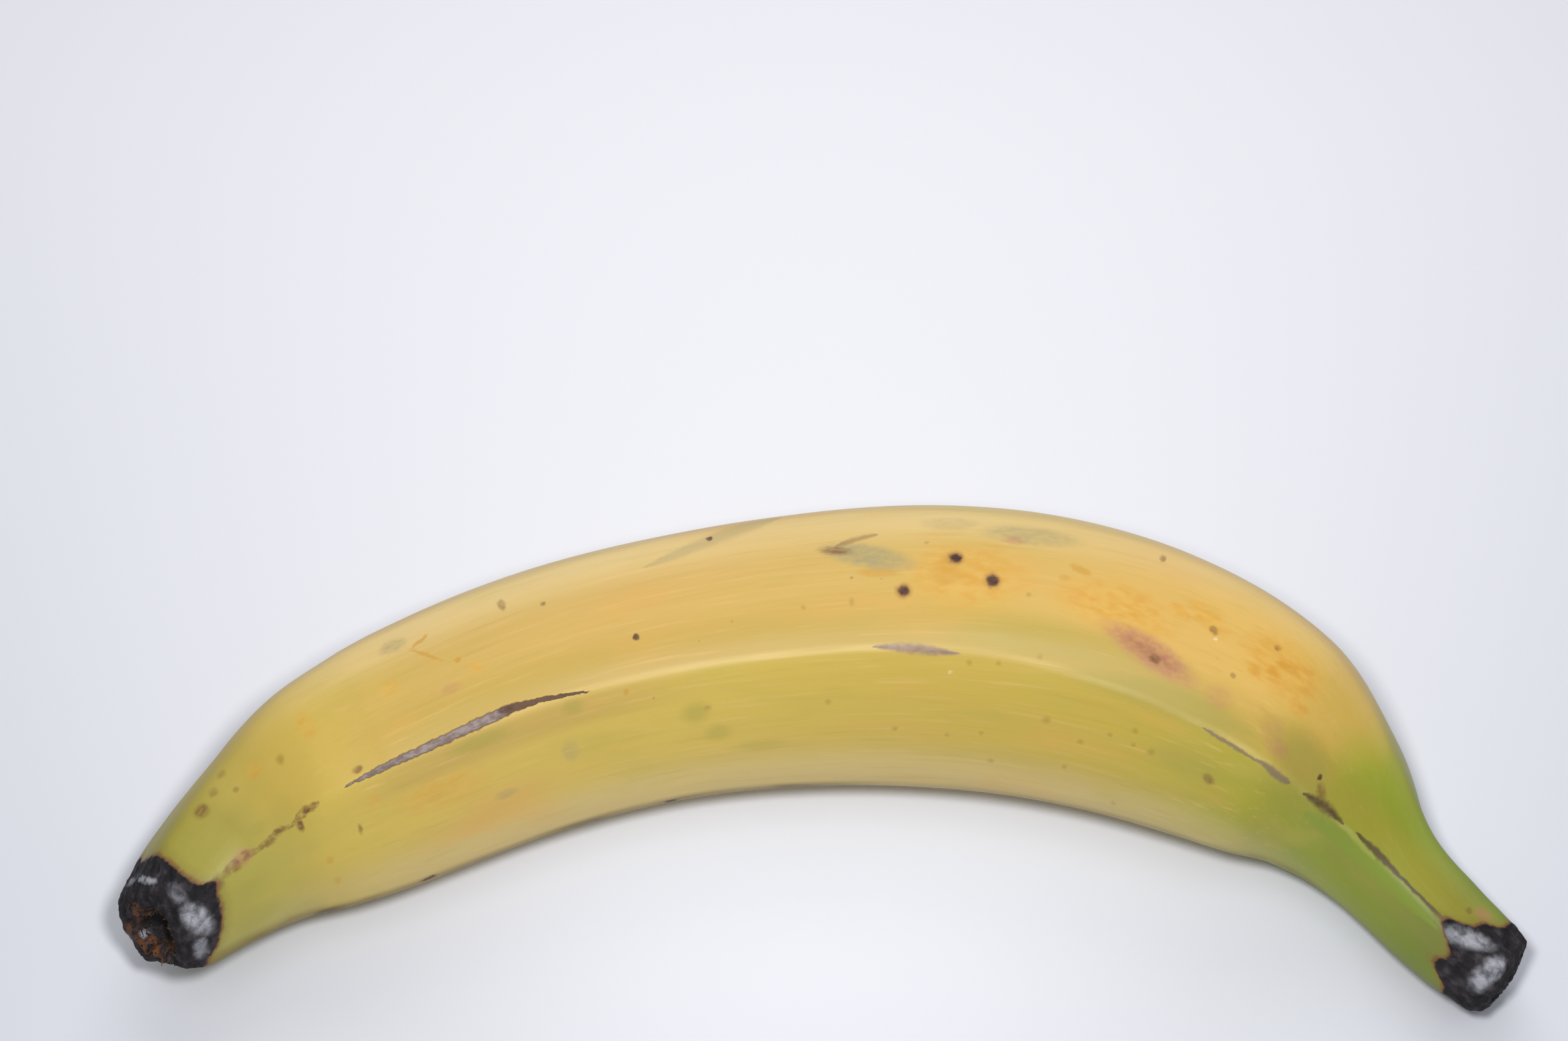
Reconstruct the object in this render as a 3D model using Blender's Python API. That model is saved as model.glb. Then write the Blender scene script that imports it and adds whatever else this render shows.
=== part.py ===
"""A ripe plantain lying on its side, one solid that grew in one piece.

The fruit is a loft. Its middle line bends in plan and hangs above the table by
the gap under the peel and the fruit's own thickness. A five-ridged section
runs along it, round on the belly and crisper at the neck. The blossom end is a
stub with a hollow scar and the stem end is a short cut neck. Sizes are in mm
until the mesh is made.
"""
import bpy
import bmesh
import numpy as np

MM = 0.001

# Stations are fractions of the length, 0 at the blossom end and 1 at the cut stem.
LENGTH = 273
HEADING = {  # direction of the middle line seen from above, degrees from +X
    0.00: 57, 0.04: 56, 0.13: 31, 0.25: 24, 0.40: 10, 0.55: -2,
    0.70: -19, 0.80: -33, 0.88: -57, 0.94: -54, 1.00: -40,
}
HALF_THICKNESS = {  # from the middle line to the top of a ridge
    0.000: 10, 0.035: 13, 0.080: 16.5, 0.140: 21.5, 0.220: 23.5, 0.400: 25, 0.600: 27,
    0.720: 26, 0.800: 23, 0.850: 17.5, 0.900: 11.5, 0.950: 10, 1.000: 9,
}
GAP_BELOW = {  # from the table to the peel, below zero where the fruit's weight flattens it
    0.000: 10.4, 0.030: 6.8, 0.060: 3.7, 0.090: 1.8, 0.130: 0.5, 0.180: -0.5,
    0.840: -0.5, 0.920: 0, 1.000: 0.5,
}
UNDERSIDE = 0.95  # depth of the underside as a share of the half thickness
LEAN = 1.1  # how much more steeply the tips' sections lean than the gap below them climbs

# Where each ridge stands around the middle line, in degrees: 0 is the hollow
# side of the bend, 90 is up. The ridges wind a little along the fruit.
RIDGE_STATIONS = (0.00, 0.20, 0.55, 0.80, 0.86, 0.92, 1.00)
RIDGES = {
    "front lower": (-19, -18, -18, -16, -12, 0, 10),
    "front upper": (58, 57, 56, 47, 50, 65, 70),
    "top": (110, 121, 119, 110, 110, 125, 142),
    "back": (190, 190, 190, 190, 195, 205, 215),
    "under": (252, 256, 256, 256, 260, 272, 283),
}
CRISPNESS = {0.00: 8, 0.12: 7, 0.30: 6, 0.70: 6, 0.87: 8, 1.00: 9}  # higher is more angular

# Rounding of the ends: its length, the share of the thickness left on the end
# face, and how square the rounding is.
BLOSSOM_END = (5, 0.6, 2.4)
STEM_END = (2.8, 0.72, 2.0)
END_RINGS = (0.0, 0.2, 0.8, 1.8, 3.2, 5.0, 7.0)  # mm from an end, where the rounding needs rings
SCAR = ((0.80, 0.6), (0.55, 2.0))  # blossom scar: share of the end face, depth in mm
SCAR_FLOOR = 2.4
STEM_DOME = ((0.70, 0.4), (0.35, 0.7))  # cut face: share of the end face, height in mm
STEM_DOME_TOP = 0.8

BODY_RINGS = 54
SIDES_PER_FACE = 7


def smooth(table, at):
    """Read a table of stations with a smooth curve through its values."""
    stations = np.array(list(table.keys()), float)
    values = np.array(list(table.values()), float)
    slopes = np.empty_like(values)
    slopes[1:-1] = (values[2:] - values[:-2]) / (stations[2:] - stations[:-2])
    slopes[0] = (values[1] - values[0]) / (stations[1] - stations[0])
    slopes[-1] = (values[-1] - values[-2]) / (stations[-1] - stations[-2])
    left = np.clip(np.searchsorted(stations, at, side="right") - 1, 0, len(stations) - 2)
    step = stations[left + 1] - stations[left]
    x = (at - stations[left]) / step
    return ((2 * x**3 - 3 * x**2 + 1) * values[left]
            + (x**3 - 2 * x**2 + x) * step * slopes[left]
            + (3 * x**2 - 2 * x**3) * values[left + 1]
            + (x**3 - x**2) * step * slopes[left + 1])


def middle_line(stations):
    """Points of the middle line and the way its sections face.

    The line is found by walking along its heading in small steps. Its sections
    stay upright, and lean back only where the gap below grows at the tips.
    """
    walk = np.linspace(0, 1, 2001)
    heading = np.radians(smooth(HEADING, walk))
    step = LENGTH * (walk[1] - walk[0])
    x = np.concatenate(([0], np.cumsum((np.cos(heading[1:]) + np.cos(heading[:-1])) / 2 * step)))
    y = np.concatenate(([0], np.cumsum((np.sin(heading[1:]) + np.sin(heading[:-1])) / 2 * step)))
    gap = smooth(GAP_BELOW, walk)
    z = gap + UNDERSIDE * smooth(HALF_THICKNESS, walk)
    line = np.stack([x, y, z], axis=1)
    along = np.stack([np.cos(heading), np.sin(heading), LEAN * np.gradient(gap, step)], axis=1)
    along /= np.linalg.norm(along, axis=1)[:, None]
    points = np.stack([np.interp(stations, walk, line[:, i]) for i in range(3)], axis=1)
    directions = np.stack([np.interp(stations, walk, along[:, i]) for i in range(3)], axis=1)
    return points, directions


def ridge_angles(station):
    return np.radians([np.interp(station, RIDGE_STATIONS, row) for row in RIDGES.values()])


def section(station):
    """Angles and relative radii of the ridged section, where 1 is the top of a ridge."""
    ridges = ridge_angles(station)
    after = np.append(ridges[1:], ridges[0] + 2 * np.pi)
    share = np.arange(SIDES_PER_FACE) / SIDES_PER_FACE
    angles = (ridges[:, None] + (after - ridges)[:, None] * share).ravel()
    faces = (ridges + after) / 2
    flat = np.cos((after - ridges) / 2)
    power = np.interp(station, list(CRISPNESS.keys()), list(CRISPNESS.values()))
    reach = np.maximum(0, np.cos(angles[:, None] - faces)) / flat
    return angles, (2 / (reach**power).sum(axis=1))**(1 / power)


def rounding(distance, length, end_share, squareness):
    """Share of the thickness that an end keeps at a distance from its end face."""
    x = np.clip(1 - distance / length, 0, 1)
    return end_share + (1 - end_share) * (1 - x**squareness)**(1 / squareness)


def ring_stations():
    near = np.array(END_RINGS) / LENGTH
    body = np.linspace(near[-1], 1 - near[-1], BODY_RINGS)
    return np.concatenate((near[:-1], body, (1 - near[:-1])[::-1]))


def rings():
    """Rings of points from the blossom scar's floor to the top of the cut stem."""
    stations = ring_stations()
    points, directions = middle_line(stations)
    thickness = smooth(HALF_THICKNESS, stations)
    thickness *= rounding(stations * LENGTH, *BLOSSOM_END)
    thickness *= rounding((1 - stations) * LENGTH, *STEM_END)

    def ring(index, share=1.0, inward=0.0):
        along = directions[index]
        side = np.cross(along, (0, 0, 1))
        side /= np.linalg.norm(side)
        up = np.cross(side, along)
        angles, radii = section(stations[index])
        reach = radii * thickness[index] * share
        centre = points[index] + along * inward
        return centre + reach[:, None] * (np.cos(angles)[:, None] * side + np.sin(angles)[:, None] * up)

    last = len(stations) - 1
    inner = [ring(0, share, depth) for share, depth in reversed(SCAR)]
    outer = [ring(index) for index in range(len(stations))]
    dome = [ring(last, share, height) for share, height in STEM_DOME]
    scar_floor = points[0] + directions[0] * SCAR_FLOOR
    dome_top = points[last] + directions[last] * STEM_DOME_TOP
    return inner + outer + dome, scar_floor, dome_top


def place(loops, first_tip, last_tip):
    """Flatten what would sink into the table, and centre the footprint on the origin."""
    loops = np.array(loops)
    loops[..., 2] = np.maximum(loops[..., 2], 0)
    low = loops.reshape(-1, 3).min(axis=0)
    high = loops.reshape(-1, 3).max(axis=0)
    middle = (low + high) / 2 * (1, 1, 0)
    return (loops - middle) * MM, (first_tip - middle) * MM, (last_tip - middle) * MM


def loft(name, loops, first_tip, last_tip):
    """Close the rings into one solid, with a fan at each end."""
    shape = bmesh.new()
    loops = [[shape.verts.new(point) for point in loop] for loop in loops]
    for this, following in zip(loops, loops[1:]):
        for i in range(len(this)):
            shape.faces.new((this[i - 1], this[i], following[i], following[i - 1]))
    first = shape.verts.new(first_tip)
    last = shape.verts.new(last_tip)
    for i in range(len(loops[0])):
        shape.faces.new((first, loops[0][i], loops[0][i - 1]))
        shape.faces.new((last, loops[-1][i - 1], loops[-1][i]))
    bmesh.ops.recalc_face_normals(shape, faces=shape.faces)
    mesh = bpy.data.meshes.new(name)
    shape.to_mesh(mesh)
    shape.free()
    mesh.shade_smooth()
    return bpy.data.objects.new(name, mesh)


def peel():
    material = bpy.data.materials.new("ripe peel")
    material.use_nodes = True
    shader = material.node_tree.nodes["Principled BSDF"]
    shader.inputs["Base Color"].default_value = (0.66, 0.46, 0.10, 1)
    shader.inputs["Roughness"].default_value = 0.45
    shader.inputs["Metallic"].default_value = 0.0
    return material


def main():
    for old in list(bpy.data.objects):
        bpy.data.objects.remove(old, do_unlink=True)
    collection = bpy.data.collections.new("plantain")
    bpy.context.scene.collection.children.link(collection)
    plantain = loft("plantain", *place(*rings()))
    plantain.data.materials.append(peel())
    collection.objects.link(plantain)


main()
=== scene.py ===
"""A ripe plantain lying on its side, finished around its CAD frame.

The fruit follows one rule: a section with five soft ridges is swept along a
middle line that bends in plan. The sweep, the dried ends and the fibres in the
blossom scar are Geometry Nodes trees; colour, marks, gloss and fine relief are
shader nodes that follow the peel. Sizes are in mm until they reach a mesh.
"""
from functools import reduce

import bpy
import numpy as np
from mathutils import Matrix, Vector


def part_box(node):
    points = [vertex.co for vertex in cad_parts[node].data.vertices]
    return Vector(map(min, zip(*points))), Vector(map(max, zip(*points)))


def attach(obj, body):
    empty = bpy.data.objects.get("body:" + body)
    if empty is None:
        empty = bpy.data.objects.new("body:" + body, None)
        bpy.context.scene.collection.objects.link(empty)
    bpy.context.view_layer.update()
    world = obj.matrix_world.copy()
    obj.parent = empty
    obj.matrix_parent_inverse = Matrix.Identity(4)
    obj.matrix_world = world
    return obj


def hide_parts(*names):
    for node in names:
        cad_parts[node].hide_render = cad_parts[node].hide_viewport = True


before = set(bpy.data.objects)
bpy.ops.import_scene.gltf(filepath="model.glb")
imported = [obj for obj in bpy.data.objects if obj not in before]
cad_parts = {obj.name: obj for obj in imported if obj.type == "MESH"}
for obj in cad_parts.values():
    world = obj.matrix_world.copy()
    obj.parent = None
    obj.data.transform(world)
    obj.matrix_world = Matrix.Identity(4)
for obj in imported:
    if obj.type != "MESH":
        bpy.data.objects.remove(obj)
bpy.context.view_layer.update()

MM = 0.001

# ---------------------------------------------------------------- the fruit's rule

# Stations are shares of the length, 0 at the blossom end and 1 at the cut stem.
LENGTH = 273
HEADING = {  # direction of the middle line seen from above, degrees from +X
    0.00: 57, 0.04: 56, 0.13: 31, 0.25: 24, 0.40: 10, 0.55: -2,
    0.70: -19, 0.80: -33, 0.88: -57, 0.94: -54, 1.00: -40,
}
HALF_THICKNESS = {  # from the middle line to the top of a ridge
    0.000: 10, 0.035: 13, 0.080: 16.5, 0.140: 21.5, 0.220: 23.5, 0.400: 25, 0.600: 27,
    0.720: 26, 0.800: 23, 0.850: 17.5, 0.900: 11.5, 0.950: 10, 1.000: 9,
}
GAP_BELOW = {  # from the table to the peel, below zero where the fruit's weight flattens it
    0.000: 10.4, 0.030: 6.8, 0.060: 3.7, 0.090: 1.8, 0.130: 0.5, 0.180: -0.5,
    0.840: -0.5, 0.920: 0, 1.000: 0.5,
}
UNDERSIDE = 0.95  # depth of the underside as a share of the half thickness
LEAN = 1.1  # how much more steeply the tips' sections lean than the gap below them climbs

# Where each ridge stands around the middle line, in degrees: 0 is the hollow
# side of the bend, 90 is up. The ridges wind a little along the fruit.
RIDGE_STATIONS = (0.00, 0.20, 0.55, 0.80, 0.86, 0.92, 1.00)
RIDGES = {
    "front lower": (-19, -18, -18, -16, -12, 0, 10),
    "front upper": (58, 57, 56, 47, 50, 65, 70),
    "top": (110, 121, 119, 110, 110, 125, 142),
    "back": (190, 190, 190, 190, 195, 205, 215),
    "under": (252, 256, 256, 256, 260, 272, 283),
}
CRISPNESS = {0.00: 8, 0.12: 7, 0.30: 6, 0.70: 6, 0.87: 8, 1.00: 9}  # higher is more angular

# Rounding of the ends: its length, the share of the thickness left on the end
# face, and how square the rounding is.
BLOSSOM_END = (5, 0.6, 2.4)
STEM_END = (2.8, 0.72, 2.0)
SCAR_DEPTH = {0: 3.4, 0.30: 3.0, 0.50: 2.2, 0.70: 1.1, 0.86: 0.3, 1.00: 0}  # share of the end face: mm
STEM_DEPTH = {0: -0.8, 0.35: -0.7, 0.70: -0.4, 1.00: 0}

# Rings of the finished mesh: close together on the dried ends, wider on the body.
FACE_RINGS = 22
TIP_LENGTH = 15
TIP_STEP = 0.27
BODY_STEP = 0.86
SIDES_PER_FACE = 44


def smooth(table, at):
    """Read a table of stations with a smooth curve through its values."""
    stations = np.array(list(table.keys()), float)
    values = np.array(list(table.values()), float)
    slopes = np.empty_like(values)
    slopes[1:-1] = (values[2:] - values[:-2]) / (stations[2:] - stations[:-2])
    slopes[0] = (values[1] - values[0]) / (stations[1] - stations[0])
    slopes[-1] = (values[-1] - values[-2]) / (stations[-1] - stations[-2])
    left = np.clip(np.searchsorted(stations, at, side="right") - 1, 0, len(stations) - 2)
    step = stations[left + 1] - stations[left]
    x = (at - stations[left]) / step
    return ((2 * x**3 - 3 * x**2 + 1) * values[left]
            + (x**3 - 2 * x**2 + x) * step * slopes[left]
            + (3 * x**2 - 2 * x**3) * values[left + 1]
            + (x**3 - x**2) * step * slopes[left + 1])


def middle_line(stations):
    """Points of the middle line and the way its sections face."""
    walk = np.linspace(0, 1, 2001)
    heading = np.radians(smooth(HEADING, walk))
    step = LENGTH * (walk[1] - walk[0])
    x = np.concatenate(([0], np.cumsum((np.cos(heading[1:]) + np.cos(heading[:-1])) / 2 * step)))
    y = np.concatenate(([0], np.cumsum((np.sin(heading[1:]) + np.sin(heading[:-1])) / 2 * step)))
    gap = smooth(GAP_BELOW, walk)
    line = np.stack([x, y, gap + UNDERSIDE * smooth(HALF_THICKNESS, walk)], axis=1)
    along = np.stack([np.cos(heading), np.sin(heading), LEAN * np.gradient(gap, step)], axis=1)
    along /= np.linalg.norm(along, axis=1)[:, None]
    points = np.stack([np.interp(stations, walk, line[:, i]) for i in range(3)], axis=1)
    directions = np.stack([np.interp(stations, walk, along[:, i]) for i in range(3)], axis=1)
    return points, directions


def rounding(distance, length, end_share, squareness):
    """Share of the thickness that an end keeps at a distance from its end face."""
    x = np.clip(1 - distance / length, 0, 1)
    return end_share + (1 - end_share) * (1 - x**squareness)**(1 / squareness)


def ring_table():
    """What each ring needs, from the middle of the blossom scar to the middle of the cut stem."""
    tip = np.arange(0, TIP_LENGTH, TIP_STEP)
    body = np.linspace(TIP_LENGTH, LENGTH - TIP_LENGTH, round((LENGTH - 2 * TIP_LENGTH) / BODY_STEP))
    outer = np.concatenate((tip, body, LENGTH - tip[::-1])) / LENGTH
    share = np.linspace(0, 1, FACE_RINGS + 1)[:-1]
    station = np.concatenate((share * 0, outer, share * 0 + 1))
    share = np.concatenate((share, outer * 0 + 1, share[::-1]))
    inward = np.where(station < 0.5, smooth(SCAR_DEPTH, share), -smooth(STEM_DEPTH, share))
    points, along = middle_line(station)
    points = points + along * inward[:, None]
    radius = smooth(HALF_THICKNESS, station) * share
    radius *= rounding(station * LENGTH, *BLOSSOM_END) * rounding((1 - station) * LENGTH, *STEM_END)
    table = {
        "station": station * LENGTH + inward,
        "radius": radius,
        "crispness": np.interp(station, list(CRISPNESS.keys()), list(CRISPNESS.values())),
    }
    for name, angles in RIDGES.items():
        table[name] = np.radians(np.interp(station, RIDGE_STATIONS, angles))
    return points, along, table


# ---------------------------------------------------------------- wiring node trees

class Wiring:
    """Short calls that add a node and return its output; an input takes a number or an output."""

    def __init__(self, tree):
        self.tree = tree

    def add(self, kind, inputs=(), **settings):
        node = self.tree.nodes.new(kind)
        for name, value in settings.items():
            setattr(node, name, value)
        pairs = inputs.items() if isinstance(inputs, dict) else enumerate(inputs)
        for key, value in pairs:
            self.feed(node.inputs[key], value)
        return node

    def feed(self, socket, value):
        if isinstance(value, bpy.types.NodeSocket):
            self.tree.links.new(value, socket)
        elif value is not None:
            socket.default_value = value

    def math(self, operation, *values):
        return self.add("ShaderNodeMath", values, operation=operation).outputs[0]

    def fold(self, operation, values):
        """One operation run along a row of values, each joined as soon as it is made."""
        return reduce(lambda total, value: self.math(operation, total, value), values)

    def plus(self, *values):
        return self.fold("ADD", values)

    def minus(self, first, second):
        return self.math("SUBTRACT", first, second)

    def times(self, *values):
        return self.fold("MULTIPLY", values)

    def most(self, *values):
        return self.fold("MAXIMUM", values)

    def vector(self, operation, *values):
        node = self.add("ShaderNodeVectorMath", operation=operation)
        for socket, value in zip(node.inputs, values):
            self.feed(socket, value)
        return node.outputs["Value" if operation in ("LENGTH", "DOT_PRODUCT") else "Vector"]

    def scale(self, vector, factor):
        return self.add("ShaderNodeVectorMath", {0: vector, "Scale": factor}, operation="SCALE").outputs[0]

    def combine(self, x, y, z):
        return self.add("ShaderNodeCombineXYZ", (x, y, z)).outputs[0]

    def parts(self, vector):
        return list(self.add("ShaderNodeSeparateXYZ", (vector,)).outputs)

    def carried(self, name):
        """In a material, a number that the mesh carries."""
        return self.add("ShaderNodeAttribute", attribute_name=name).outputs["Fac"]

    def stored(self, name, data_type="FLOAT"):
        """In a geometry tree, a value that the mesh carries."""
        return self.add("GeometryNodeInputNamedAttribute", (name,), data_type=data_type).outputs[0]

    def store(self, geometry, name, value, data_type="FLOAT", domain="POINT"):
        inputs = {"Geometry": geometry, "Name": name, "Value": value}
        kind = "GeometryNodeStoreNamedAttribute"
        return self.add(kind, inputs, data_type=data_type, domain=domain).outputs[0]

    def ramp(self, value, low, high, start=0.0, end=1.0):
        """A soft step: start below low, end above high."""
        inputs = {0: value, 1: low, 2: high, 3: start, 4: end}
        return self.add("ShaderNodeMapRange", inputs, interpolation_type="SMOOTHSTEP").outputs[0]

    def noise(self, vector, seed, detail=2.0):
        """Noise from 0 to 1, one lump to a unit of the vector."""
        inputs = {"Vector": vector, "W": seed, "Scale": 1.0, "Detail": detail}
        return self.add("ShaderNodeTexNoise", inputs, noise_dimensions="4D").outputs[0]

    def mix(self, share, first, second):
        """A blend of two colours."""
        return self.add("ShaderNodeMix", {0: share, 6: first, 7: second}, data_type="RGBA").outputs[2]

    def number(self, share, first, second):
        """A blend of two numbers."""
        return self.add("ShaderNodeMix", {0: share, 2: first, 3: second}, data_type="FLOAT").outputs[0]

    def colours(self, value, stops):
        """Colours laid out along a value from 0 to 1."""
        node = self.add("ShaderNodeValToRGB", (value,))
        bar = node.color_ramp.elements
        for position in sorted(stops)[1:-1]:
            bar.new(position)
        for element, position in zip(bar, sorted(stops)):
            element.position = position
            element.color = stops[position]
        return node.outputs[0]

    def curve(self, value, points):
        """A smooth curve through points, from 0 to 1 both ways."""
        node = self.add("ShaderNodeFloatCurve", {"Value": value})
        line = node.mapping.curves[0]
        line.points[0].location = points[0]
        line.points[1].location = points[-1]
        for x, y in points[1:-1]:
            line.points.new(x, y)
        node.mapping.update()
        return node.outputs[0]


def new_geometry_tree(name, inputs):
    """A tree with named inputs for its sizes, and the wiring to fill it."""
    tree = bpy.data.node_groups.new(name, "GeometryNodeTree")
    tree.interface.new_socket("Geometry", in_out="OUTPUT", socket_type="NodeSocketGeometry")
    tree.interface.new_socket("Geometry", in_out="INPUT", socket_type="NodeSocketGeometry")
    for label, kind in inputs.items():
        tree.interface.new_socket(label, in_out="INPUT", socket_type="NodeSocket" + kind)
    wire = Wiring(tree)
    given = wire.add("NodeGroupInput").outputs
    return wire, given


def close_geometry_tree(wire, geometry, material):
    """Every tree ends the same way: real geometry, smooth shading and its material."""
    shaded = wire.add("GeometryNodeSetShadeSmooth", {"Geometry": geometry}).outputs[0]
    real = wire.add("GeometryNodeRealizeInstances", (shaded,)).outputs[0]
    painted = wire.add("GeometryNodeSetMaterial", {"Geometry": real, "Material": material}).outputs[0]
    wire.add("NodeGroupOutput", (painted,))


def add_object(name, data):
    thing = bpy.data.objects.new(name, data)
    bpy.context.scene.collection.objects.link(thing)
    return thing


def grow(name, base_mesh, tree, values):
    """Run a tree on a mesh and keep the result as a plain mesh object."""
    source = add_object(name, base_mesh)
    modifier = source.modifiers.new(tree.name, "NODES")
    modifier.node_group = tree
    for socket in tree.interface.items_tree:
        if socket.in_out == "INPUT" and socket.name in values:
            modifier[socket.identifier] = values[socket.name]
    depsgraph = bpy.context.evaluated_depsgraph_get()
    mesh = bpy.data.meshes.new_from_object(source.evaluated_get(depsgraph), preserve_all_data_layers=True,
                                           depsgraph=depsgraph)
    bpy.data.objects.remove(source)
    mesh.name = name
    return add_object(name, mesh)


# ---------------------------------------------------------------- the swept fruit

# How far the dried skin reaches from each tip, in mm, for angles around the
# fruit: 0 is straight down, 0.5 is up, 1 is straight down again over the back.
BLOSSOM_EDGE = (
    (0, 4.0), (0.12, 3.2), (0.215, 2.6), (0.25, 4.3), (0.306, 5.8), (0.35, 6.2), (0.388, 6.2), (0.403, 6.8),
    (0.425, 4.7), (0.46, 4.0), (0.5, 4.0), (0.583, 4.9), (0.667, 5.9), (0.75, 9.0), (0.86, 6.0), (1, 4.0),
)
STEM_EDGE = (
    (0, 6.5), (0.15, 7.2), (0.28, 6.3), (0.306, 7.7), (0.342, 9.8), (0.375, 8.6), (0.403, 9.6),
    (0.431, 12.0), (0.446, 12.8), (0.472, 11.0), (0.5, 9.0), (0.542, 7.9), (0.61, 5.0), (0.70, 7.5),
    (0.85, 8.5), (1, 6.5),
)
EDGE_SCALE = 20


def swept_fruit_tree():
    wire, given = new_geometry_tree("ridged fruit", {
        "Rings": "Int", "Sides": "Int", "Crest Height": "Float", "Crest Width": "Float",
        "Waviness": "Float", "Crumple": "Float", "Seed": "Float", "Material": "Material",
    })
    math, plus, minus, times = wire.math, wire.plus, wire.minus, wire.times
    columns = plus(given["Sides"], 1)
    grid = wire.add("GeometryNodeMeshGrid", (1.0, 1.0, given["Rings"], columns)).outputs["Mesh"]
    index = wire.add("GeometryNodeInputIndex").outputs[0]
    ring = math("FLOOR", math("DIVIDE", plus(index, 0.5), columns))
    column = minus(index, times(ring, columns))
    turn = math("DIVIDE", column, given["Sides"])

    def of_ring(name, data_type="FLOAT"):
        attribute = wire.stored(name, data_type)
        sample = wire.add("GeometryNodeSampleIndex", data_type=data_type, domain="POINT")
        wire.feed(sample.inputs["Geometry"], given["Geometry"])
        wire.feed(sample.inputs["Value"], attribute)
        wire.feed(sample.inputs["Index"], ring)
        return sample.outputs[0]

    # The angle runs from ridge to ridge, with more sides near a ridge than between two.
    ridges = [of_ring(name) for name in RIDGES]
    ridges.append(plus(ridges[0], 2 * np.pi))
    angle = ridges[0]
    for face in range(len(RIDGES)):
        share = wire.add("ShaderNodeClamp", (minus(times(turn, len(RIDGES)), face), 0, 1)).outputs[0]
        ease = times(math("SINE", times(share, 2 * np.pi)), 0.5 / (2 * np.pi))
        share = minus(share, ease)
        angle = plus(angle, times(minus(ridges[face + 1], ridges[face]), share))

    # A rounded five-sided section: the reach of each flat face, blended by crispness.
    crispness = of_ring("crispness")
    terms = []
    for face in range(len(RIDGES)):
        middle = times(plus(ridges[face], ridges[face + 1]), 0.5)
        half = times(minus(ridges[face + 1], ridges[face]), 0.5)
        reach = math("DIVIDE", math("COSINE", minus(angle, middle)), math("COSINE", half))
        terms.append(math("POWER", wire.most(reach, 0.001), crispness))
    nearest_ridge = wire.fold("MINIMUM", [math("ABSOLUTE", minus(angle, ridge)) for ridge in ridges])
    relative = math("POWER", math("DIVIDE", 2.0, plus(*terms)), math("DIVIDE", 1.0, crispness))
    radius = times(of_ring("radius"), relative)

    along = of_ring("along", "FLOAT_VECTOR")
    side = wire.vector("NORMALIZE", wire.vector("CROSS_PRODUCT", along, (0, 0, 1)))
    up = wire.vector("CROSS_PRODUCT", side, along)
    forward_part = times(radius, math("COSINE", angle))
    upward_part = times(radius, math("SINE", angle))
    offset = wire.vector("ADD", wire.scale(side, forward_part), wire.scale(up, upward_part))
    place = wire.vector("ADD", of_ring("centre", "FLOAT_VECTOR"), offset)
    station = of_ring("station")

    # The peel laid straight: station, towards the hollow side, and up, for everything that follows it.
    straight = wire.combine(station, forward_part, upward_part)
    mesh = wire.store(grid, "straight", straight, "FLOAT_VECTOR")
    mesh = wire.store(mesh, "to ridge", times(nearest_ridge, radius))
    mesh = wire.store(mesh, "front ridge", ridges[1])
    mesh = wire.store(mesh, "OFBake", wire.combine(of_ring("wrap"), turn, 0.0), "FLOAT2", "CORNER")
    around = minus(0.5, math("DIVIDE", math("ARCTAN2", forward_part, upward_part), 2 * np.pi))

    def edge(points):
        level = [(x, y / EDGE_SCALE) for x, y in points]
        return times(wire.curve(around, level), EDGE_SCALE * MM)

    from_blossom = minus(station, edge(BLOSSOM_EDGE))
    from_stem = minus(minus(LENGTH * MM, station), edge(STEM_EDGE))
    mesh = wire.store(mesh, "beyond dried skin", math("MINIMUM", from_blossom, from_stem))
    mesh = wire.add("GeometryNodeSetPosition", {"Geometry": mesh, "Position": place}).outputs[0]
    mesh = wire.add("GeometryNodeMergeByDistance", {"Geometry": mesh, "Distance": 1e-6}).outputs[0]

    # Relief along the surface's own normal.
    flat = wire.stored("straight", "FLOAT_VECTOR")
    seed = given["Seed"]

    def lumps(lengths, offset, detail=2.0):
        """Noise centred on zero whose lumps have these lengths in mm along and around."""
        stretched = wire.vector("MULTIPLY", flat, tuple(1 / (length * MM) for length in lengths))
        return minus(wire.noise(stretched, plus(seed, offset), detail), 0.5)

    to_ridge = math("DIVIDE", wire.stored("to ridge"), given["Crest Width"])
    crest = math("EXPONENT", times(times(to_ridge, to_ridge), -1.0))
    beyond = wire.stored("beyond dried skin")
    peel = wire.ramp(beyond, -0.5 * MM, 4 * MM)
    from_tip = wire.ramp(wire.parts(flat)[0], 12 * MM, 45 * MM, 0.2, 1.0)
    height = times(times(crest, given["Crest Height"]), times(peel, from_tip))
    waves = plus(lumps((70, 14, 14), 0), times(lumps((60, 5, 5), 3), 0.35))
    height = plus(height, times(waves, given["Waviness"]))
    dried = wire.ramp(beyond, -1.2 * MM, 0.3 * MM, 1.0, 0.0)
    folds = plus(lumps((3.0, 2.6, 2.6), 7, 3.0), times(lumps((6, 1.2, 1.2), 11, 3.0), 0.6))
    folds = minus(folds, 0.12)
    height = plus(height, times(times(folds, dried), given["Crumple"]))
    relief = wire.scale(wire.add("GeometryNodeInputNormal").outputs[0], height)
    mesh = wire.add("GeometryNodeSetPosition", {"Geometry": mesh, "Offset": relief}).outputs[0]

    # Nothing sinks into the table.
    position = wire.add("GeometryNodeInputPosition").outputs[0]
    lifted = wire.vector("MAXIMUM", position, (-1.0, -1.0, 0.0))
    mesh = wire.add("GeometryNodeSetPosition", {"Geometry": mesh, "Position": lifted}).outputs[0]
    close_geometry_tree(wire, mesh, given["Material"])
    return wire.tree


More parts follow.
